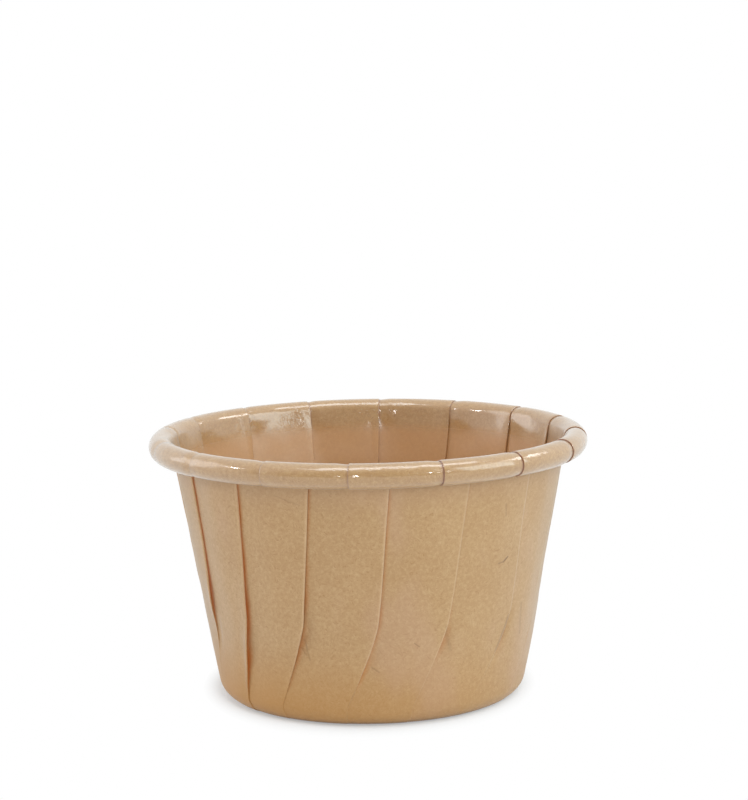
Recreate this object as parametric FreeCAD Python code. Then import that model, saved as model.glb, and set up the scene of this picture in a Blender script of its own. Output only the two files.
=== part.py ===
import FreeCAD, Part
import collections
import math
import os

# A pleated paper baking cup with a rolled rim, standing on its base
# Millimetres and degrees, +Z up, origin at the centre of the base's underside
# Angles run from the front of the cup (-Y) round to its right (+X)
# The whole cup is one round sheet of paper, folded up into overlapping pleats
# At a pleat three layers lie on each other: the panel on its left ends in the
# outer fold, turns back to the inner fold, and comes out again as the next panel

# The cup
rim_diameter = 65.0  # over the rolled rim
cup_height = 39.6  # from the table to the top of the roll
base_diameter = 44.7  # where the line of the wall would meet the table
base_corner_radius = 3.1  # bend between base and wall, at the middle of the paper

# The paper
paper_thickness = 0.18
layer_gap = 0.06  # air between two layers of a pleat

# The rolled rim
roll_diameter = 3.6  # over the thickest part of the roll
roll_turn = 285.0  # how far the edge is rolled, outwards and down
pressed_spread = 0.4  # the layers lie this much closer in the roll than in the wall

# The pleats
pleat_count = 16
first_seam = -4.4  # angle of the first pleat's inner fold, at the rim
pleat_depth_rim = 5.6  # from a pleat's inner fold to its outer fold, at the roll
pleat_depth_foot = 0.7  # the same at the base corner
crease_height = 15.5  # below this the folds lean over, where the base was pressed
lean_power = 1.3  # 1 leans the folds in a straight line, and more bends them over softly
bow_power = 0.7  # 1 bows them most at half the wall's height, and less puts that lower

# Each pleat's own unevenness, from the front one round to the right, in degrees: its place
# on the rim, its lean to the left at the base corner, and its bow to the right between them
seam_shifts = (-0.6, 0.6, 1.4, 2.4, 1.8, 0.7, -0.4, 0.3, 0.9, 0.2, -0.7, 0.1, -5.2, -1.2, -1.5, -0.8)
foot_leans = (6.2, 6.4, 5.2, 4.4, 6.6, 5.4, 7.0, 4.8, 6.0, 3.8, 5.2, 6.8, 4.6, 3.2, 2.8, 8.4)
bows = (1.4, 1.2, 4.4, 1.0, 0.2, 1.8, 0.6, 2.2, 1.0, -0.4, 1.4, 0.4, 1.6, 2.4, 0.9, -0.2)

# How finely the flat facets follow the curves
panel_strips = 3  # across the single panel between two pleats
corner_steps = 4  # round the base corner
leaning_steps = 4  # up the stretch of wall where the folds lean
upright_steps = 4  # up the rest of the wall
roll_steps = 14  # round the roll
pressing_steps = 3  # of these, before the layers are pressed together
flatness = 0.00000001  # a fourth corner nearer to the plane of the other three makes one facet
sewing_tolerance = 0.00001

# Sizes that follow from these
half_paper = paper_thickness / 2
layer_pitch = paper_thickness + layer_gap
pleat_pitch = 360.0 / pleat_count
roll_radius = roll_diameter / 2 - pressed_spread * layer_pitch - half_paper
roll_centre_r = rim_diameter / 2 - roll_diameter / 2
roll_centre_z = cup_height - roll_diameter / 2
foot_r = base_diameter / 2
wall_reach = math.hypot(roll_centre_r - foot_r, roll_centre_z)
wall_tilt = math.atan2(roll_centre_r - foot_r, roll_centre_z) - math.asin(roll_radius / wall_reach)
corner_turn = math.pi / 2 - wall_tilt
floor_r = foot_r + half_paper * math.tan(wall_tilt) - base_corner_radius * math.tan(corner_turn / 2)

# A place on the cup's profile: the middle of the paper, the way to its outside, how far
# a pleat's layers have come apart there, and its share of the wall's height
Station = collections.namedtuple("Station", "r z out_r out_z spread share")

# A line up the cup on one side of one layer: the layers are 1 outside, 0 in the middle
# and -1 inside, and the side is 1 for the layer's outer skin and -1 for its inner one
Line = collections.namedtuple("Line", "angle_at layer side")


def corner_stations():
    """The bend from the floor's edge, where the layers start, up to the wall."""
    stations = []
    for step in range(corner_steps + 1):
        part = step / corner_steps
        out_r, out_z = math.sin(part * corner_turn), -math.cos(part * corner_turn)
        r = floor_r + base_corner_radius * out_r
        z = half_paper + base_corner_radius * (1 + out_z)
        stations.append(Station(r, z, out_r, out_z, part, 0.0))
    return stations


def roll_stations():
    """The roll from the top of the wall to the paper's edge."""
    stations = []
    for step in range(roll_steps + 1):
        turn = math.pi - wall_tilt - math.radians(roll_turn) * step / roll_steps
        in_r, in_z = math.cos(turn), math.sin(turn)
        r = roll_centre_r + roll_radius * in_r
        z = roll_centre_z + roll_radius * in_z
        spread = 1 - (1 - pressed_spread) * min(1.0, step / pressing_steps)
        stations.append(Station(r, z, -in_r, -in_z, spread, 1.0))
    return stations


def wall_stations(low, high):
    """The straight wall between two stations, in even steps below and above the creases."""
    crease = (crease_height - low.z) / (high.z - low.z)
    shares = [crease * step / leaning_steps for step in range(leaning_steps)]
    shares += [crease + (1 - crease) * step / upright_steps for step in range(upright_steps)]
    stations = []
    for share in shares:
        r = low.r + share * (high.r - low.r)
        z = low.z + share * (high.z - low.z)
        stations.append(Station(r, z, high.out_r, high.out_z, 1.0, share))
    return stations + [high]


corner = corner_stations()
roll = roll_stations()
wall = wall_stations(corner[-1], roll[0])


def wall_radius(share):
    return corner[-1].r + share * (roll[0].r - corner[-1].r)


def seam_angle(pleat, share):
    """Angle of a pleat's inner fold, at a share of the wall."""
    index = pleat % pleat_count
    crease_share = (crease_height - corner[-1].z) / (roll[0].z - corner[-1].z)
    lean = foot_leans[index] * max(0.0, 1 - share / crease_share) ** lean_power
    bow = bows[index] * math.sin(math.pi * share ** bow_power) ** 2
    return first_seam + pleat * pleat_pitch + seam_shifts[index] + bow - lean


def fold_angle(pleat, share, short_of=0.0):
    """Angle of a pleat's outer fold, or of a line a little short of it."""
    depth = pleat_depth_foot + share * (pleat_depth_rim - pleat_depth_foot) - short_of
    return seam_angle(pleat, share) + math.degrees(depth / wall_radius(share))


def point(line, station):
    """Where a line passes a station."""
    offset = line.layer * layer_pitch * station.spread + line.side * half_paper
    r = station.r + offset * station.out_r
    z = station.z + offset * station.out_z
    turn = math.radians(line.angle_at(station.share))
    return FreeCAD.Vector(r * math.sin(turn), -r * math.cos(turn), z)


def seam_line(pleat, layer, side):
    return Line(lambda share: seam_angle(pleat, share), layer, side)


def fold_line(pleat, layer, side):
    return Line(lambda share: fold_angle(pleat, share), layer, side)


def seam_web_line(pleat, layer, side):
    """A line one thickness of paper inside a pleat's inner fold."""

    def angle_at(share):
        return seam_angle(pleat, share) + math.degrees(paper_thickness / wall_radius(share))

    return Line(angle_at, layer, side)


def fold_web_line(pleat, layer, side):
    """A line one thickness of paper inside a pleat's outer fold."""
    return Line(lambda share: fold_angle(pleat, share, paper_thickness), layer, side)


def panel_lines(pleat, side):
    """Lines over one side of the panel that comes out of a pleat and laps over the next."""
    lines = []
    for strip in range(panel_strips + 1):
        part = strip / panel_strips

        def angle_at(share, part=part):
            start = fold_angle(pleat, share)
            return start + part * (seam_angle(pleat + 1, share) - start)

        lines.append(Line(angle_at, 2 * part - 1, side))
    return lines


def facet(points):
    return Part.Face(Part.makePolygon(points + points[:1]))


def patch(left, right, low, high):
    """The patch of surface between two lines and two stations, as one or two flat facets."""
    if left.angle_at(high.share) > right.angle_at(high.share):
        left, right = right, left
    corners = [point(left, low), point(right, low), point(right, high), point(left, high)]
    sides = [corner_point - corners[0] for corner_point in corners[1:]]
    normal = sides[0].cross(sides[1])
    if abs(normal.dot(sides[2])) < flatness * normal.Length:
        return [facet(corners)]
    return [facet(corners[:3]), facet([corners[0]] + corners[2:])]


def surface(lines, stations):
    """The surface that runs through neighbouring lines, over neighbouring stations."""
    faces = []
    for left, right in zip(lines, lines[1:]):
        for low, high in zip(stations, stations[1:]):
            faces += patch(left, right, low, high)
    return faces


def step_outline(upper, lower, slit, stations, wall_end):
    """The flat step along a fold where the layers are pressed together."""
    up = [point(upper, station) for station in stations]
    back = [point(lower, station) for station in stations if station.spread > 0]
    outline = up + back[::-1]
    if wall_end is stations[0]:
        outline.append(point(slit, wall_end))
    else:
        outline.insert(len(up), point(slit, wall_end))
    return facet(outline)


def pleat_faces(pleat):
    """All faces from the panel that leaves a pleat to the end of the next pleat's layers."""
    following = pleat + 1
    outside = panel_lines(pleat, 1) + [fold_line(following, 1, 1)]
    outer_slit = [
        fold_line(following, 0, -1),
        seam_web_line(following, 0, -1),
        seam_web_line(following, -1, 1),
        fold_line(following, -1, 1),
    ]
    inside = [seam_line(pleat, -1, -1)] + panel_lines(pleat, -1)
    inner_slit = [
        fold_web_line(following, 1, -1),
        fold_web_line(following, 0, 1),
        seam_line(following, 0, 1),
        seam_line(following, -1, -1),
    ]

    faces = surface(outside + outer_slit, wall) + surface(inside + inner_slit, wall)
    for pressed, wall_end in ((corner, corner[-1]), (roll, roll[0])):
        faces += surface(outside, pressed) + surface(inside, pressed)
        faces.append(step_outline(outside[-1], outer_slit[3], outer_slit[0], pressed, wall_end))
        faces.append(step_outline(inside[-1], inner_slit[3], inner_slit[2], pressed, wall_end))
    for slit_end in (wall[0], wall[-1]):
        faces.append(facet([point(line, slit_end) for line in outer_slit]))
        faces.append(facet([point(line, slit_end) for line in inside[-1:] + inner_slit[:3]]))

    # The thickness of the paper where the roll ends, first the panel and then the layers
    for strip in range(panel_strips):
        rim = [outside[strip], outside[strip + 1], inside[strip + 2], inside[strip + 1]]
        faces.append(facet([point(line, roll[-1]) for line in rim]))
    next_panel = fold_line(following, -1, -1)
    rim = [outside[-2], outside[-1], outer_slit[3], next_panel, inner_slit[3], inside[-1]]
    faces.append(facet([point(line, roll[-1]) for line in rim]))
    return faces


def floor_face(side):
    """The underside or the upper side of the flat base."""
    outline = []
    for pleat in range(pleat_count):
        outline += [point(line, corner[0]) for line in panel_lines(pleat, side)]
    return facet(outline)


def make_liner():
    """The whole cup as one closed solid of paper."""
    faces = [floor_face(1), floor_face(-1)]
    for pleat in range(pleat_count):
        faces += pleat_faces(pleat)
    skin = Part.Compound(faces)
    skin.sewShape(sewing_tolerance)
    solid = Part.Solid(skin.Shells[0])
    if solid.Volume < 0:
        solid.reverse()
    return solid


os.makedirs("parts", exist_ok=True)
liner = make_liner()
liner.exportStep("parts/liner.step")
print("liner: volume", round(liner.Volume, 2), "closed and valid", liner.isClosed(), liner.isValid())
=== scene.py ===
import collections
import math

import bmesh
import bpy
from mathutils import Matrix, Vector, noise


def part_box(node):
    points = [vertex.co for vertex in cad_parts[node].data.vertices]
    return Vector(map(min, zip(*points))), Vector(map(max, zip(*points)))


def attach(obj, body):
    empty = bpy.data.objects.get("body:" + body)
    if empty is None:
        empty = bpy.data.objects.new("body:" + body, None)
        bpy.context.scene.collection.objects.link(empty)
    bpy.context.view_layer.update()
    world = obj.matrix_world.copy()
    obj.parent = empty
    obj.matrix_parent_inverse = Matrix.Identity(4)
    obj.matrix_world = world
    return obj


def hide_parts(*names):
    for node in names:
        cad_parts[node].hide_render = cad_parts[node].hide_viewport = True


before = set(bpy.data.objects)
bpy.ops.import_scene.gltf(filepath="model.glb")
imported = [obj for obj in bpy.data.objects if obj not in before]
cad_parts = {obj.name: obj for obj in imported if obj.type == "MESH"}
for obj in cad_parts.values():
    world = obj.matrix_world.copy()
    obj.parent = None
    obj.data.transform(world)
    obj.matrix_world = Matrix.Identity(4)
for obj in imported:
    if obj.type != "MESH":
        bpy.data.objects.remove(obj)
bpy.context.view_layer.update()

# The cup's sizes, in metres, with its height taken from the frame
mm = 0.001
rim_radius = 32.5 * mm
cup_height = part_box("liner")[1].z
foot_radius = 22.35 * mm
corner_radius = 3.1 * mm
paper = 0.12 * mm
layer_pitch = 0.19 * mm
pressed_pitch = 0.08 * mm
foot_pitch = 0.08 * mm
roll_diameter = 3.6 * mm
roll_turn = math.radians(285)

# The pleats, counted from the front round to the right, with angles in degrees
pleats = 16
first_seam = -4.4
pleat_depth_rim = 5.6 * mm
pleat_depth_foot = 0.7 * mm
crease_height = 15.5 * mm
lean_power = 1.3
bow_power = 0.7
seam_shifts = (-0.6, 0.6, 1.4, 2.4, 1.8, 0.7, -0.4, 0.3, 0.9, 0.2, -0.7, 0.1, -5.2, -1.2, -1.5, -0.8)
foot_leans = (6.2, 6.4, 5.2, 4.4, 6.6, 5.4, 7.0, 4.8, 6.0, 3.8, 5.2, 6.8, 4.6, 3.2, 2.8, 8.4)
bows = (1.4, 1.2, 4.4, 1.0, 0.2, 1.8, 0.6, 2.2, 1.0, -0.4, 1.4, 0.4, 1.6, 2.4, 0.9, -0.2)

# How much each pleat's layers keep apart at the base, where some are pressed flat
foot_steps = (0.7, 0.8, 0.4, 0.5, 0.6, 1, 0.5, 0.8, 0.4, 1, 0.6, 0.8, 0.5, 0.05, 1, 0.5)
# The share of the wall's height over which they come apart, and where it starts
loosening = (0.3, 0.3, 0.3, 0.3, 0.4, 0.2, 0.3, 0.35, 0.25, 0.3, 0.4, 0.2, 0.3, 0.2, 0.2, 0.3)
loosening_starts = (0, 0, 0, 0, 0, 0, 0, 0, 0, 0, 0, 0, 0, 0.27, 0, 0)

# Shares of the wall's height: below the first the layers lie closer together, above the second
# they are pressed together again, and from the third on a panel goes over into its shape on the roll
spread_share = 0.35
pressed_share = 0.93
rolled_share = 0.9

# How far each lapped edge stands off the wall, at which height, and over what length, in mm
flap_lifts = (
    (0.10, 20, 9), (0.08, 24, 8), (0.10, 15, 8), (0.12, 22, 9), (0.20, 12, 6), (0.15, 18, 9),
    (0.10, 26, 8), (0.25, 13, 6), (0.10, 20, 9), (0.18, 15, 7), (0.12, 22, 9), (0.20, 12, 6),
    (0.15, 19, 8), (0.40, 17, 4), (0.38, 12, 11), (0.30, 14, 6),
)

# Hollows where the folds start to lean: height, half width, half height and depth, in mm
hollows = (
    (10.3, 0.6, 2.0, 0.26), (12.4, 0.6, 2.8, 0.46), (11.8, 0.7, 3.2, 0.44), (11.0, 0.8, 2.0, 0.30),
    (10.5, 0.7, 2.4, 0.35), (12.0, 0.9, 2.2, 0.30), (9.5, 0.7, 1.8, 0.35), (11.5, 0.6, 2.6, 0.40),
    (12.5, 0.8, 2.0, 0.30), (10.0, 0.7, 2.4, 0.35), (11.0, 0.9, 1.8, 0.30), (12.0, 0.7, 2.4, 0.40),
    (10.5, 0.6, 2.2, 0.30), (11.5, 0.7, 2.4, 0.20), (9.5, 0.8, 2.0, 0.15), (12.8, 0.5, 2.6, 0.28),
)
hollow_offset = 0.7 * mm

# How dark the painted shade in the gap under each lapped edge is
gap_shades = (0.80, 0.48, 0.34, 0.40, 0.8, 0.6, 0.9, 0.7, 0.8, 0.6, 0.9, 0.7, 0.8, 1.0, 1.0, 1.0)
# How dark the painted shade at each pleat's seam on the roll is
seam_shades = (0.5, 1.0, 1.0, 1.0, 0.8, 0.6, 0.7, 0.5, 0.6, 0.7, 0.5, 0.6, 0.4, 0.2, 0.2, 0.15)

# Fine creases, streaks and two dark fibres on the wall, drawn darker: in the creases and streaks the
# dark is painted shade. Each goes from an angle and a height in mm to another, with a half width in mm
# and a strength
marks = (
    ((-23.0, 13.1), (-21.4, 10.1), 0.25, 0.28), ((-24.4, 11.8), (-22.5, 10.7), 0.20, 0.22),
    ((-0.1, 9.2), (2.3, 8.5), 0.22, 0.30), ((25.0, 14.6), (27.4, 11.0), 0.50, 0.20),
    ((51.4, 14.2), (47.6, 9.6), 0.65, 0.50), ((60.0, 15.5), (61.5, 11.0), 0.50, 0.24),
    ((43.2, 22.9), (45.4, 23.0), 0.20, 0.50), ((45.4, 23.0), (47.1, 23.6), 0.24, 0.85),
    ((43.3, 31.7), (44.0, 29.8), 0.20, 0.30), ((-27.4, 34.4), (-19.9, 33.2), 0.20, 0.16),
    ((14.1, 12.6), (15.8, 12.05), 0.16, 0.45),
)
mark_radius = 26 * mm  # of the wall where it is laid out flat for them

# The wall's unevenness: depths of its broad and its small dents, and the broad ones' spacing
dent_depth = 0.16 * mm
small_dent_depth = 0.05 * mm
dent_spacing = 14 * mm

# The faint shadow on the table: its middle, then the half width and half depth of the ellipse
# on which it is strong, and of the one on which it ends
shadow_middle = (-0.4 * mm, 5 * mm, 0)
strong_shadow = (23.2 * mm, 27.0 * mm)
shadow_end = (25.4 * mm, 33.4 * mm)

# How finely the sheet is divided
floor_rings = 3
corner_steps = 8
wall_steps = 42
roll_steps = 24
layer_columns = 4
panel_columns = 15
bend_columns = 4
pleat_columns = 3 * layer_columns + panel_columns + 2 * bend_columns
fold_zone_columns = 3 * layer_columns + 2 * bend_columns

half_paper = paper / 2
roll_radius = roll_diameter / 2 - pressed_pitch - half_paper
roll_r = rim_radius - roll_diameter / 2
roll_z = cup_height - roll_diameter / 2
wall_tilt = math.atan2(roll_r - foot_radius, roll_z)
wall_tilt -= math.asin(roll_radius / math.hypot(roll_r - foot_radius, roll_z))
corner_turn = math.pi / 2 - wall_tilt
floor_radius = foot_radius + half_paper * math.tan(wall_tilt)
floor_radius -= corner_radius * math.tan(corner_turn / 2)

Station = collections.namedtuple("Station", "r z out_r out_z pitch share rolled")


def smooth(part):
    """A soft step from 0 to 1."""
    part = min(1.0, max(0.0, part))
    return part * part * (3 - 2 * part)


def mix(low, high, part):
    return low + (high - low) * part


def paper_path():
    """Places along the sheet from the middle of the base to its rolled edge."""
    path = [
        Station(floor_radius * ring / floor_rings, half_paper, 0.0, -1.0, 0.0, 0.0, 0.0)
        for ring in range(floor_rings)
    ]
    for step in range(corner_steps + 1):
        part = step / corner_steps
        out_r, out_z = math.sin(part * corner_turn), -math.cos(part * corner_turn)
        r = floor_radius + corner_radius * out_r
        z = half_paper + corner_radius * (1 + out_z)
        path.append(Station(r, z, out_r, out_z, foot_pitch * part, 0.0, 0.0))
    foot = path[-1]
    out_r, out_z = math.cos(wall_tilt), -math.sin(wall_tilt)
    head_r, head_z = roll_r - roll_radius * out_r, roll_z - roll_radius * out_z
    for step in range(1, wall_steps):
        part = step / wall_steps
        r, z = mix(foot.r, head_r, part), mix(foot.z, head_z, part)
        pitch = mix(foot_pitch, layer_pitch, smooth(part / spread_share))
        pitch = mix(pitch, pressed_pitch, smooth((part - pressed_share) / (1 - pressed_share)))
        rolled = smooth((part - rolled_share) / (1 - rolled_share))
        path.append(Station(r, z, out_r, out_z, pitch, part, rolled))
    for step in range(roll_steps + 1):
        turn = math.pi - wall_tilt - roll_turn * step / roll_steps
        in_r, in_z = math.cos(turn), math.sin(turn)
        r, z = roll_r + roll_radius * in_r, roll_z + roll_radius * in_z
        path.append(Station(r, z, -in_r, -in_z, pressed_pitch, 1.0, 1.0))
    return path


path = paper_path()
foot_station = path[floor_rings + corner_steps]
head_station = path[floor_rings + corner_steps + wall_steps]


def wall_radius(share):
    return mix(foot_station.r, head_station.r, share)


def seam_angle(pleat, share):
    """Angle of a pleat's inner fold, which shows as a seam on the roll."""
    index = pleat % pleats
    crease_share = (crease_height - foot_station.z) / (head_station.z - foot_station.z)
    lean = foot_leans[index] * max(0.0, 1 - share / crease_share) ** lean_power
    bow = bows[index] * math.sin(math.pi * share ** bow_power) ** 2
    return first_seam + pleat * 360 / pleats + seam_shifts[index] + bow - lean


def fold_angle(pleat, share):
    """Angle of a pleat's outer fold, which shows as a lapped edge on the wall."""
    depth = mix(pleat_depth_foot, pleat_depth_rim, share)
    return seam_angle(pleat, share) + math.degrees(depth / wall_radius(share))


def folded_place(pleat, column, share, rolled):
    """Angle and layer of a column where the pleat is folded: 1 outside, 0 middle, -1 inside."""
    seam, fold = seam_angle(pleat, share), fold_angle(pleat, share)
    next_seam, next_fold = seam_angle(pleat + 1, share), fold_angle(pleat + 1, share)
    bend = math.degrees(layer_pitch / 2 / wall_radius(share))
    if column < layer_columns:
        return mix(seam + bend, fold, column / layer_columns), -1.0
    column -= layer_columns
    if column < panel_columns:
        part = column / panel_columns
        return mix(fold, next_seam, part), 2 * mix(smooth(part), smooth((part - 0.7) / 0.3), rolled) - 1
    column -= panel_columns
    if column < layer_columns:
        short_of = (1 - column / layer_columns) ** 2
        return mix(next_fold - bend, next_seam, short_of), 1.0
    column -= layer_columns
    if column < bend_columns:
        turn = math.pi * column / bend_columns
        return next_fold - bend + bend * math.sin(turn), 0.5 + 0.5 * math.cos(turn)
    column -= bend_columns
    if column < layer_columns:
        return mix(next_fold - bend, next_seam + bend, column / layer_columns), 0.0
    turn = math.pi * (column - layer_columns) / bend_columns
    return next_seam + bend - bend * math.sin(turn), -0.5 + 0.5 * math.cos(turn)


def flat_angle(pleat, column):
    """Angle of a column on the flat base, before its pleat starts."""
    seam, fold = seam_angle(pleat, 0.0), fold_angle(pleat, 0.0)
    next_seam, next_fold = seam_angle(pleat + 1, 0.0), fold_angle(pleat + 1, 0.0)
    if column < layer_columns:
        return mix(seam, fold, (column - layer_columns) / fold_zone_columns + 1)
    column -= layer_columns
    if column < panel_columns:
        return mix(fold, next_seam, column / panel_columns)
    return mix(next_seam, next_fold, (column - panel_columns) / fold_zone_columns)


def flap_lift(pleat, angle, share):
    """How far a lapped edge stands off the panel behind it."""
    seam, fold = seam_angle(pleat, share), fold_angle(pleat, share)
    over = min(1.0, max(0.0, (angle - seam) / (fold - seam)))
    lift, height, length = flap_lifts[pleat % pleats]
    off = (mix(foot_station.z, head_station.z, share) / mm - height) / length
    wave = 1 + 0.5 * noise.noise(Vector((pleat * 3.1, share * 7.0, 0.0)))
    ends = smooth(share / 0.08) * smooth((1 - share) / 0.08)
    return lift * mm * over * over * math.exp(-off * off) * wave * ends


def hollow(pleat, angle, share):
    """Depth of the hollow in the panel beside a pleat's outer fold."""
    height, half_width, half_height, depth = hollows[pleat % pleats]
    z = mix(foot_station.z, head_station.z, share) / mm
    aside = math.radians(angle - fold_angle(pleat, share)) * wall_radius(share) - hollow_offset
    reach = (aside / half_width / mm) ** 2 + ((z - height) / half_height) ** 2
    return depth * mm * math.exp(-reach)


def dent(angle, z):
    """Slight unevenness of the wall, the same for all layers at a place."""
    turn = math.radians(angle)
    spot = Vector((math.sin(turn) * 2.2, math.cos(turn) * 2.2, z / dent_spacing))
    return dent_depth * noise.noise(spot) + small_dent_depth * noise.noise(spot * 3.7)


def looseness(pleat, column, share):
    """How far the layers have come apart, from a pleat's column on to the next pleat's."""
    loose = []
    for index in (pleat % pleats, (pleat + 1) % pleats):
        apart = smooth((share - loosening_starts[index]) / loosening[index])
        loose.append(mix(foot_steps[index], 1.0, apart))
    return mix(loose[0], loose[1], smooth((column - layer_columns) / panel_columns))


def sheet_point(column_number, station):
    """Where a column of the sheet passes a station, folded, lapped and dented."""
    pleat, column = divmod(column_number, pleat_columns)
    folded, layer = folded_place(pleat, column, station.share, station.rolled)
    part = smooth(station.pitch / foot_pitch / 0.6)
    angle = mix(flat_angle(pleat, column), folded, part)
    offset = layer * station.pitch * looseness(pleat, column, station.share)
    if 0 < station.share < 1:
        if column > layer_columns + panel_columns:
            offset += flap_lift(pleat + 1, angle, station.share)
        offset += dent(angle, station.z) * math.sin(math.pi * station.share) ** 0.5
        if layer_columns <= column < layer_columns + panel_columns:
            offset -= hollow(pleat, angle, station.share)
    r = station.r + offset * station.out_r
    z = station.z + offset * station.out_z
    turn = math.radians(angle)
    return Vector((r * math.sin(turn), -r * math.cos(turn), z))


def fold_edge(column_number, station):
    """1 where the paper is bent sharp at an outer fold, which rubs it pale and where a painted
    highlight stands for the light it catches, and 0 elsewhere.
    """
    pleat, column = divmod(column_number, pleat_columns)
    first_bend = 2 * layer_columns + panel_columns
    on_fold = first_bend <= column <= first_bend + bend_columns
    rubbed = smooth((station.share - 0.04) / 0.2) * (1 - station.rolled)
    return float(on_fold) * rubbed * looseness(pleat, column, station.share)


def fold_shade(column_number, station):
    """1 where the panel beside a fold is painted with shade, in the gap and in the hollow, and 0
    elsewhere.
    """
    pleat, column = divmod(column_number, pleat_columns)
    if not 0 < station.share < 1 or column >= layer_columns + panel_columns:
        return 0.0
    beside = (column >= layer_columns - 1) * max(0.0, 1 - 0.55 * max(0, column - layer_columns))
    wave = 0.75 + 0.6 * noise.noise(Vector((pleat * 5.3, station.share * 9.0, 2.0)))
    wave *= smooth((station.share - 0.01) / 0.12) * (1 - station.rolled)
    shade = beside * wave * looseness(pleat, layer_columns, station.share) ** 0.7
    shade *= gap_shades[pleat % pleats]
    angle = folded_place(pleat, column, station.share, station.rolled)[0]
    return max(shade, 1.2 / mm * hollow(pleat, angle, station.share))


def seam_shade(column_number, station):
    """Up to 1 on the folded lips round the roll, which are painted with the shade of their seams, and 0
    elsewhere.
    """
    pleat, column = divmod(column_number, pleat_columns)
    on_seam = column == layer_columns + panel_columns or column > pleat_columns - bend_columns
    return on_seam * seam_shades[(pleat + 1) % pleats] * station.rolled


def film_wrinkle(column_number, station):
    """1 beside the seams of the roll, where the film is gathered, fading to 0 away from them."""
    column = column_number % pleat_columns
    away = min(column / 3, abs(layer_columns + panel_columns - column) / 7)
    return smooth(1 - away) * station.rolled


def make_liner():
    """One sheet: its profile is spun round, and then every point is moved to its fold."""
    bm = bmesh.new()
    station_of = bm.verts.layers.int.new("station")
    rubbed_and_highlit = bm.verts.layers.float.new("worn_and_highlit_fold")
    shaded = bm.verts.layers.float.new("fold_shade")
    seam = bm.verts.layers.float.new("seam_shade")
    wrinkled = bm.verts.layers.float.new("film_wrinkle")
    tip = bm.verts.new((0, 0, path[0].z))
    tip[station_of] = 0
    for number, station in enumerate(path[1:], 1):
        tip = bmesh.ops.extrude_vert_indiv(bm, verts=[tip])["verts"][0]
        tip.co = (0, -station.r, station.z)
        tip[station_of] = number
    columns = pleats * pleat_columns
    profile = bm.verts[:] + bm.edges[:]
    bmesh.ops.spin(
        bm, geom=profile, cent=(0, 0, 0), axis=(0, 0, 1), angle=math.tau, steps=columns, use_merge=True
    )
    bmesh.ops.remove_doubles(bm, verts=bm.verts[:], dist=0.001 * mm)
    bmesh.ops.recalc_face_normals(bm, faces=bm.faces[:])
    base_face = min(bm.faces, key=lambda face: face.calc_center_median().z)
    if base_face.normal.z > 0:
        bmesh.ops.reverse_faces(bm, faces=bm.faces[:])
    for vert in bm.verts:
        if vert[station_of] == 0:
            continue
        turn = math.atan2(vert.co.x, -vert.co.y)
        column_number = round(turn / math.tau * columns) % columns
        vert.co = sheet_point(column_number, path[vert[station_of]])
        vert[rubbed_and_highlit] = fold_edge(column_number, path[vert[station_of]])
        vert[shaded] = fold_shade(column_number, path[vert[station_of]])
        vert[seam] = seam_shade(column_number, path[vert[station_of]])
        vert[wrinkled] = film_wrinkle(column_number, path[vert[station_of]])
    mesh = bpy.data.meshes.new("pleated_paper")
    bm.to_mesh(mesh)
    bm.free()
    for face in mesh.polygons:
        face.use_smooth = True
    sheet = bpy.data.objects.new("pleated_paper", mesh)
    bpy.context.scene.collection.objects.link(sheet)
    thickness = sheet.modifiers.new("thickness", "SOLIDIFY")
    thickness.thickness = paper
    thickness.offset = 0
    thickness.material_offset = 1
    return sheet


def new_material(name):
    material = bpy.data.materials.new(name)
    material.use_nodes = True
    tree = material.node_tree
    return material, tree, tree.nodes["Principled BSDF"]


def srgb(r, g, b):
    """A colour as seen on a screen, 0 to 255, as the light values that a shader takes."""
    values = [c / 255 for c in (r, g, b)]
    return tuple(v / 12.92 if v <= 0.04045 else ((v + 0.055) / 1.055) ** 2.4 for v in values) + (1.0,)


def set_input(tree, socket, value):
    if isinstance(value, bpy.types.NodeSocket):
        tree.links.new(value, socket)
    else:
        socket.default_value = value


def noise_at(tree, coords, scale, detail=3.0, roughness=0.5, distortion=0.0):
    node = tree.nodes.new("ShaderNodeTexNoise")
    tree.links.new(coords, node.inputs["Vector"])
    node.inputs["Scale"].default_value = scale
    node.inputs["Detail"].default_value = detail
    node.inputs["Roughness"].default_value = roughness
    node.inputs["Distortion"].default_value = distortion
    return node.outputs["Fac"]


def remap(tree, value, low, high, new_low=0.0, new_high=1.0, smooth_step=False):
    node = tree.nodes.new("ShaderNodeMapRange")
    if smooth_step:
        node.interpolation_type = "SMOOTHSTEP"
    tree.links.new(value, node.inputs["Value"])
    node.inputs["From Min"].default_value = low
    node.inputs["From Max"].default_value = high
    node.inputs["To Min"].default_value = new_low
    node.inputs["To Max"].default_value = new_high
    return node.outputs["Result"]


def calc(tree, kind, a, b):
    node = tree.nodes.new("ShaderNodeMath")
    node.operation = kind
    set_input(tree, node.inputs[0], a)
    set_input(tree, node.inputs[1], b)
    return node.outputs["Value"]


def blend(tree, factor, a, b, kind="MIX"):
    node = tree.nodes.new("ShaderNodeMix")
    node.data_type = "RGBA"
    node.blend_type = kind
    set_input(tree, node.inputs[0], factor)
    set_input(tree, node.inputs[6], a)
    set_input(tree, node.inputs[7], b)
    return node.outputs[2]


def split_place(tree, coords):
    split = tree.nodes.new("ShaderNodeSeparateXYZ")
    tree.links.new(coords, split.inputs[0])
    return split.outputs["X"], split.outputs["Y"], split.outputs["Z"]


def stored(tree, name):
    """A value that was given to every point of the sheet."""
    node = tree.nodes.new("ShaderNodeAttribute")
    node.attribute_name = name
    return node.outputs["Fac"]


def vector_calc(tree, kind, a, b):
    node = tree.nodes.new("ShaderNodeVectorMath")
    node.operation = kind
    set_input(tree, node.inputs[0], a)
    set_input(tree, node.inputs[1], b)
    return node.outputs["Value" if kind in ("DOT_PRODUCT", "LENGTH", "DISTANCE") else "Vector"]


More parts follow.
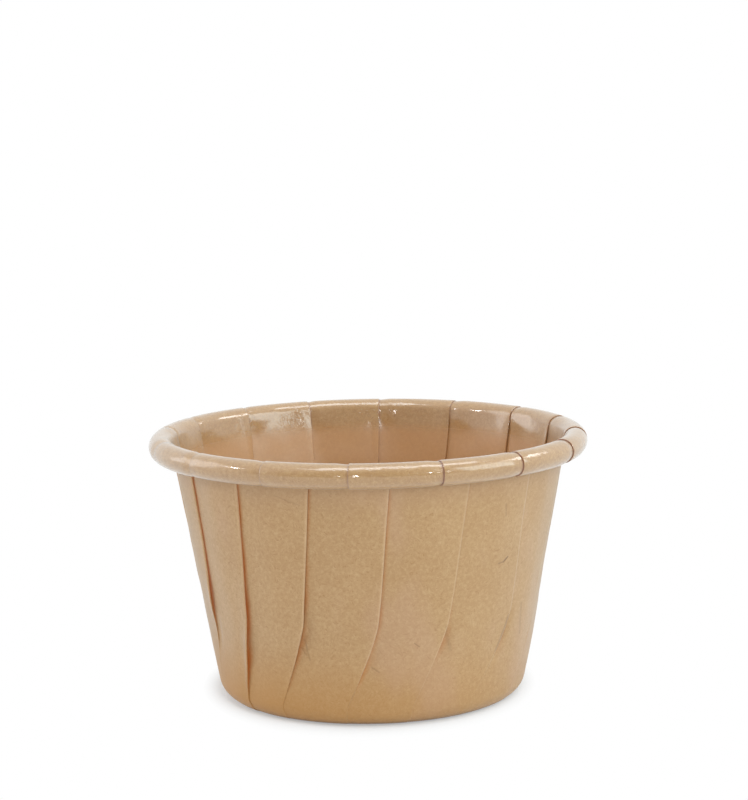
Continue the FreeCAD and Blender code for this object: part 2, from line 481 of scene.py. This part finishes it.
def join_place(tree, x, y, z):
    node = tree.nodes.new("ShaderNodeCombineXYZ")
    for socket, value in zip(node.inputs, (x, y, z)):
        set_input(tree, socket, value)
    return node.outputs["Vector"]


def on_mark(tree, unrolled, mark):
    """The strength of a mark on its own line, fading to 0 at its half width."""
    ends, half_width, strength = mark[:2], mark[2] * mm, mark[3]
    start, end = (Vector((math.radians(angle) * mark_radius, z * mm, 0)) for angle, z in ends)
    along = end - start
    from_start = vector_calc(tree, "SUBTRACT", unrolled, start)
    part = vector_calc(tree, "DOT_PRODUCT", from_start, along / along.length_squared)
    part = calc(tree, "MINIMUM", calc(tree, "MAXIMUM", part, 0.0), 1.0)
    nearest = vector_calc(tree, "MULTIPLY", join_place(tree, part, part, part), along)
    away = vector_calc(tree, "DISTANCE", from_start, nearest)
    return remap(tree, away, half_width, 0.0, 0.0, strength, True)


def all_marks(tree, coords):
    """Every mark on the wall, on the wall laid out flat."""
    x, y, z = split_place(tree, coords)
    turn = calc(tree, "ARCTAN2", x, calc(tree, "MULTIPLY", y, -1.0))
    unrolled = join_place(tree, calc(tree, "MULTIPLY", turn, mark_radius), z, 0.0)
    total = 0.0
    for mark in marks:
        total = calc(tree, "MAXIMUM", total, on_mark(tree, unrolled, mark))
    return total


def add_bump(tree, height, distance, strength=1.0):
    node = tree.nodes.new("ShaderNodeBump")
    node.inputs["Strength"].default_value = strength
    node.inputs["Distance"].default_value = distance
    tree.links.new(height, node.inputs["Height"])
    return node.outputs["Normal"]


def fibre_colour(tree, coords, base, dark, light):
    """Brown paper pulp: broad soft clouds, a fine grain, and short darker and lighter fibres."""
    clouds = remap(tree, noise_at(tree, coords, 130, 3, 0.55), 0.3, 0.7)
    grain = remap(tree, noise_at(tree, coords, 1900, 4, 0.7), 0.25, 0.75)
    squiggles = noise_at(tree, coords, 620, 2, 0.5, 7.0)
    colour = blend(tree, remap(tree, clouds, 0.0, 1.0, 0.0, 0.35), base, dark)
    colour = blend(tree, remap(tree, grain, 0.5, 1.0, 0.0, 0.54), colour, light)
    colour = blend(tree, remap(tree, grain, 0.5, 0.0, 0.0, 0.66), colour, dark)
    colour = blend(tree, remap(tree, squiggles, 0.58, 0.70, 0.0, 0.26), colour, light)
    colour = blend(tree, remap(tree, squiggles, 0.41, 0.29, 0.0, 1.0), colour, dark)
    return colour, grain


def kraft_paper():
    """The dull outside of the paper."""
    material, tree, shader = new_material("kraft_outside")
    coords = tree.nodes.new("ShaderNodeTexCoord").outputs["Object"]
    base, dark, light = srgb(193, 156, 110), srgb(177, 136, 88), srgb(211, 179, 137)
    colour, grain = fibre_colour(tree, coords, base, dark, light)
    across, _, height = split_place(tree, coords)
    # Browner towards the base; the extra brown on the left is painted shade, on the side that gets less
    # light
    browner_base_and_left_shade = remap(tree, height, 14 * mm, 0.0, 0.0, 0.55, True)
    browner_base_and_left_shade = calc(tree, "MULTIPLY", browner_base_and_left_shade, remap(tree, across, -20 * mm, 20 * mm, 1.50, 0.20))
    colour = blend(tree, browner_base_and_left_shade, colour, srgb(193, 140, 72))
    # A painted dark line of shade where it touches the table, and paler paper under the roll
    painted_contact_shade = remap(tree, height, 0.9 * mm, 0.1 * mm, 0.0, 0.40, True)
    colour = blend(tree, painted_contact_shade, colour, srgb(120, 80, 45))
    under_rim = remap(tree, height, 31 * mm, 36 * mm, 0.0, 0.28, True)
    colour = blend(tree, under_rim, colour, srgb(196, 160, 130))
    # Soft pinkish patches, drawn out upwards
    streaks = tree.nodes.new("ShaderNodeMapping")
    streaks.inputs["Scale"].default_value = (1, 1, 0.4)
    tree.links.new(coords, streaks.inputs["Vector"])
    patches = noise_at(tree, streaks.outputs["Vector"], 120, 2, 0.5)
    mottle = remap(tree, patches, 0.5, 0.72, 0.0, 0.28, True)
    colour = blend(tree, mottle, colour, srgb(200, 161, 134))
    # Painted shade in warm orange, in the gap under each lapped edge and in the hollow beside it
    shade = remap(tree, stored(tree, "fold_shade"), 0.15, 1.0, 0.0, 0.80)
    colour = blend(tree, shade, colour, srgb(190, 107, 22))
    # Paler fold edges: rubbed paper, and a painted highlight where the edge catches the light
    rubbed_and_highlit = remap(tree, stored(tree, "worn_and_highlit_fold"), 0.0, 1.0, 0.0, 0.35)
    colour = blend(tree, rubbed_and_highlit, colour, srgb(222, 190, 150))
    # Dark fibres, and painted shade in the fine creases and streaks
    fibres_and_crease_shade = all_marks(tree, coords)
    colour = blend(tree, fibres_and_crease_shade, colour, srgb(128, 94, 54))
    tree.links.new(colour, shader.inputs["Base Color"])
    shader.inputs["Roughness"].default_value = 0.62
    shader.inputs["Specular IOR Level"].default_value = 0.45
    tree.links.new(remap(tree, height, 1 * mm, 12 * mm, 0.15, 0.45), shader.inputs["Sheen Weight"])
    shader.inputs["Sheen Roughness"].default_value = 0.45
    shader.inputs["Sheen Tint"].default_value = (0.80, 0.93, 1.0, 1)
    # A painted orange glow in the gaps on the left stands for the light that comes through the thin
    # paper
    gap = tree.nodes.new("ShaderNodeAmbientOcclusion")
    gap.inputs["Distance"].default_value = 0.8 * mm
    painted_glow = remap(tree, gap.outputs["AO"], 0.55, 0.05, 0.0, 0.12, True)
    painted_glow = calc(tree, "MULTIPLY", painted_glow, remap(tree, height, 1.5 * mm, 4 * mm))
    painted_glow = calc(tree, "MULTIPLY", painted_glow, remap(tree, across, -12 * mm, -17 * mm))
    shader.inputs["Emission Color"].default_value = (1.0, 0.27, 0.0, 1)
    tree.links.new(painted_glow, shader.inputs["Emission Strength"])
    relief = calc(tree, "SUBTRACT", grain, calc(tree, "MULTIPLY", fibres_and_crease_shade, 4.0))
    tree.links.new(add_bump(tree, relief, 0.02 * mm, 0.5), shader.inputs["Normal"])
    return material


def filmed_paper():
    """The inside of the paper, under a clear glossy film that wrinkles where it is rolled."""
    material, tree, shader = new_material("filmed_inside")
    coords = tree.nodes.new("ShaderNodeTexCoord").outputs["Object"]
    base, dark, light = srgb(181, 137, 76), srgb(161, 114, 55), srgb(201, 164, 108)
    colour = fibre_colour(tree, coords, base, dark, light)[0]
    on_roll = remap(tree, split_place(tree, coords)[2], 34 * mm, 37 * mm, 0.0, 1.0, True)
    # Below the roll the inside is painted a deeper orange, for the light that bounces round inside the
    # cup
    painted_bounce_light = remap(tree, on_roll, 1.0, 0.0, 0.0, 0.55)
    colour = blend(tree, painted_bounce_light, colour, srgb(200, 138, 62))
    # Painted shade along the seams round the roll, where each lip steps over the next
    seam = remap(tree, stored(tree, "seam_shade"), 0.0, 1.0, 0.0, 0.85)
    colour = blend(tree, seam, colour, srgb(140, 78, 28))
    tree.links.new(colour, shader.inputs["Base Color"])
    shader.inputs["Roughness"].default_value = 0.5
    shader.inputs["Sheen Weight"].default_value = 0.20
    shader.inputs["Sheen Roughness"].default_value = 0.65
    shader.inputs["Sheen Tint"].default_value = (0.72, 0.91, 1.0, 1)
    shader.inputs["Coat Weight"].default_value = 1.0
    shader.inputs["Coat IOR"].default_value = 1.85
    tree.links.new(remap(tree, on_roll, 0.0, 1.0, 0.42, 0.11), shader.inputs["Coat Roughness"])
    # Fine wrinkles in patches and beside the seams, over broad waves
    patches = remap(tree, noise_at(tree, coords, 170, 2, 0.5), 0.48, 0.62, 0.12, 1.0, True)
    gathered = remap(tree, stored(tree, "film_wrinkle"), 0.0, 1.0, 0.0, 0.6)
    patches = calc(tree, "MAXIMUM", patches, gathered)
    wrinkles = noise_at(tree, coords, 1500, 2, 0.6, 1.0)
    wrinkles = calc(tree, "MULTIPLY", calc(tree, "MULTIPLY", wrinkles, patches), on_roll)
    waves = calc(tree, "MULTIPLY", noise_at(tree, coords, 260, 1, 0.5), 2.0)
    film_bump = add_bump(tree, calc(tree, "ADD", wrinkles, waves), 0.06 * mm, 1.0)
    tree.links.new(film_bump, shader.inputs["Coat Normal"])
    return material


def distance_in_ellipse(tree, coords, half_sizes):
    """1 on an ellipse round the shadow's middle, less inside it and more outside it."""
    centred = vector_calc(tree, "SUBTRACT", coords, shadow_middle)
    scaled = vector_calc(tree, "DIVIDE", centred, half_sizes + (1,))
    return vector_calc(tree, "LENGTH", scaled, (0, 0, 0))


def seen_rays(tree):
    """1 for what the camera sees, also by reflection, with a second value 1 for reflections only."""
    rays = tree.nodes.new("ShaderNodeLightPath").outputs
    seen = calc(tree, "MAXIMUM", rays["Is Camera Ray"], rays["Is Glossy Ray"])
    return calc(tree, "MAXIMUM", seen, rays["Is Transmission Ray"]), rays["Is Glossy Ray"]


def make_floor():
    """A white table: close to the cup it keeps a faint shadow, and further out it is plain white."""
    bpy.ops.mesh.primitive_plane_add(size=3.0)
    floor = bpy.context.object
    floor.name = "floor"
    material, tree, shader = new_material("white_table")
    shader.inputs["Base Color"].default_value = (0.85, 0.85, 0.85, 1)
    shader.inputs["Roughness"].default_value = 0.9
    shader.inputs["Specular IOR Level"].default_value = 0.0
    coords = tree.nodes.new("ShaderNodeTexCoord").outputs["Object"]
    inner = distance_in_ellipse(tree, coords, strong_shadow)
    outer = distance_in_ellipse(tree, coords, shadow_end)
    within, band = calc(tree, "SUBTRACT", 1.0, outer), calc(tree, "SUBTRACT", inner, outer)
    shade = calc(tree, "DIVIDE", within, band)
    shaded_part = calc(tree, "POWER", calc(tree, "MAXIMUM", shade, 0.0), 1.4)
    shaded_part = calc(tree, "MINIMUM", calc(tree, "MULTIPLY", shaded_part, 0.50), 0.65)
    white = tree.nodes.new("ShaderNodeEmission")
    white.inputs["Strength"].default_value = 1.0
    lit = tree.nodes.new("ShaderNodeBsdfDiffuse")
    lit.inputs["Color"].default_value = (0.90, 0.96, 1.0, 1)
    seen = tree.nodes.new("ShaderNodeMixShader")
    tree.links.new(shaded_part, seen.inputs["Fac"])
    tree.links.new(white.outputs["Emission"], seen.inputs[1])
    tree.links.new(lit.outputs["BSDF"], seen.inputs[2])
    seen_by_camera = seen_rays(tree)[0]
    table = tree.nodes.new("ShaderNodeMixShader")
    tree.links.new(seen_by_camera, table.inputs["Fac"])
    tree.links.new(shader.outputs["BSDF"], table.inputs[1])
    tree.links.new(seen.outputs["Shader"], table.inputs[2])
    tree.links.new(table.outputs["Shader"], tree.nodes["Material Output"].inputs["Surface"])
    floor.data.materials.append(material)


def make_world():
    """An even white room."""
    world = bpy.data.worlds.new("white_room")
    bpy.context.scene.world = world
    world.use_nodes = True
    tree = world.node_tree
    background = tree.nodes["Background"]
    background.inputs["Color"].default_value = (1, 1, 1, 1)
    seen_by_camera, in_reflection = seen_rays(tree)
    strength = remap(tree, seen_by_camera, 0.0, 1.0, 0.58, 1.0)
    # In reflections the room is darker on the viewer's side
    toward = tree.nodes.new("ShaderNodeTexCoord").outputs["Generated"]
    darker = remap(tree, split_place(tree, toward)[1], -0.2, -0.95, 0.0, 0.65, True)
    darker = calc(tree, "MULTIPLY", darker, in_reflection)
    strength = calc(tree, "MULTIPLY", strength, calc(tree, "SUBTRACT", 1.0, darker))
    tree.links.new(strength, background.inputs["Strength"])


def add_softbox(name, place, aim, width, height, power, colour=(1, 1, 1)):
    data = bpy.data.lights.new(name, "AREA")
    data.shape = "RECTANGLE"
    data.size = width
    data.size_y = height
    data.energy = power
    data.color = colour
    lamp = bpy.data.objects.new(name, data)
    lamp.location = place
    lamp.rotation_euler = (Vector(aim) - Vector(place)).to_track_quat("-Z", "Y").to_euler()
    bpy.context.scene.collection.objects.link(lamp)


def make_camera():
    """The photograph's viewpoint: a little above the rim, with a long lens."""
    target = Vector((0, 0, 18.1 * mm))
    distance = 392 * mm
    elevation = math.radians(12.03)
    pitch = math.radians(8.30)
    yaw = math.radians(0.149)
    data = bpy.data.cameras.new("camera")
    data.lens = 117.6
    data.sensor_width = 36
    camera = bpy.data.objects.new("camera", data)
    back = Vector((0, -math.cos(elevation), math.sin(elevation)))
    level = math.cos(pitch)
    sight = Vector((math.sin(yaw) * level, math.cos(yaw) * level, -math.sin(pitch)))
    turn = sight.to_track_quat("-Z", "Y").to_matrix()
    roll = Matrix.Rotation(math.radians(-1.03), 3, "Z")
    camera.matrix_world = Matrix.Translation(target + back * distance) @ (turn @ roll).to_4x4()
    bpy.context.scene.collection.objects.link(camera)
    bpy.context.scene.camera = camera


make_camera()
make_world()
make_floor()
add_softbox("top_softbox", (0.06, -0.12, 0.80), (0, 0, 0.03), 0.80, 0.26, 2.5, (0.88, 0.95, 1.0))
add_softbox("left_softbox", (-0.76, 0.20, 0.32), (0, 0, 0.02), 0.5, 0.5, 1.1)
add_softbox("right_softbox", (0.72, -0.30, 0.36), (0, 0, 0.02), 0.5, 0.5, 1.85, (0.82, 0.98, 1.0))
add_softbox("upper_right_softbox", (0.70, 0.20, 0.56), (0, 0, 0.03), 0.30, 0.16, 0.8)
for place in ((-0.62, -0.13, 0.40), (-0.12, -0.74, 0.16), (0.40, -0.58, 0.26)):
    add_softbox("small_lamp", place, (0, 0, 0.03), 0.05, 0.03, 0.30)

liner = make_liner()
liner.data.materials.append(kraft_paper())
liner.data.materials.append(filmed_paper())
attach(liner, "root")
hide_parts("liner")

bpy.context.scene.view_settings.view_transform = "Standard"
